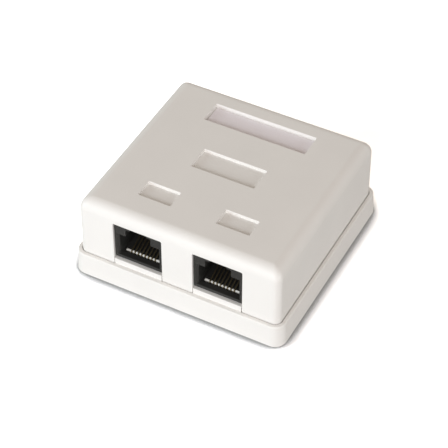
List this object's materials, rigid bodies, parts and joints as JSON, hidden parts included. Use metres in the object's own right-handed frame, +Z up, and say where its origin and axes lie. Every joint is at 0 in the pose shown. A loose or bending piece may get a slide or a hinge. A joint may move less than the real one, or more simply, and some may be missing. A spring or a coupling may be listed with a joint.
{
  "type": "surface mount jack box",
  "caption": "Low square wall box with eight-way modular jacks in its front face, wired to punch-down blocks on a board inside, with a cover that lifts off.",
  "frame": {"origin": "middle of the underside of the base", "axes": "+X to the right across the ports seen from the front, +Y from the ports to the rear wall, +Z up out of the top of the cover"},
  "size_m": [0.0622, 0.0604, 0.0255],
  "materials": {
    "housing": "moulded, fine satin texture",
    "label_paper": "plain strip",
    "label_window": "clear",
    "board": "solder resist",
    "screw": "zinc plated",
    "jack_body": "moulded, semi-gloss",
    "contact_carrier": "natural",
    "contact_wire": "plated spring metal",
    "terminal_block": "moulded",
    "terminal_contact": "tin plated"
  },
  "bodies": {
    "base": {"base": "housing", "circuit_board": "board", "board_screw_front": "screw", "board_screw_rear": "screw", "jack_left": "jack_body", "jack_right": "jack_body", "contact_carrier_left": "contact_carrier", "contact_carrier_right": "contact_carrier", "contact_wires_left": "contact_wire", "contact_wires_right": "contact_wire", "terminal_block_left_front": "terminal_block", "terminal_block_left_rear": "terminal_block", "terminal_block_right_front": "terminal_block", "terminal_block_right_rear": "terminal_block", "terminal_contacts_left_front": "terminal_contact", "terminal_contacts_left_rear": "terminal_contact", "terminal_contacts_right_front": "terminal_contact", "terminal_contacts_right_rear": "terminal_contact"},
    "cover": {"cover": "housing", "label_strip": "label_paper", "label_window": "label_window"}
  },
  "joints": [
    {"name": "cover_lift", "type": "slide", "parent": "base", "child": "cover", "axis": [0, 0, 1], "range_m": [0, 0.025]}
  ]
}
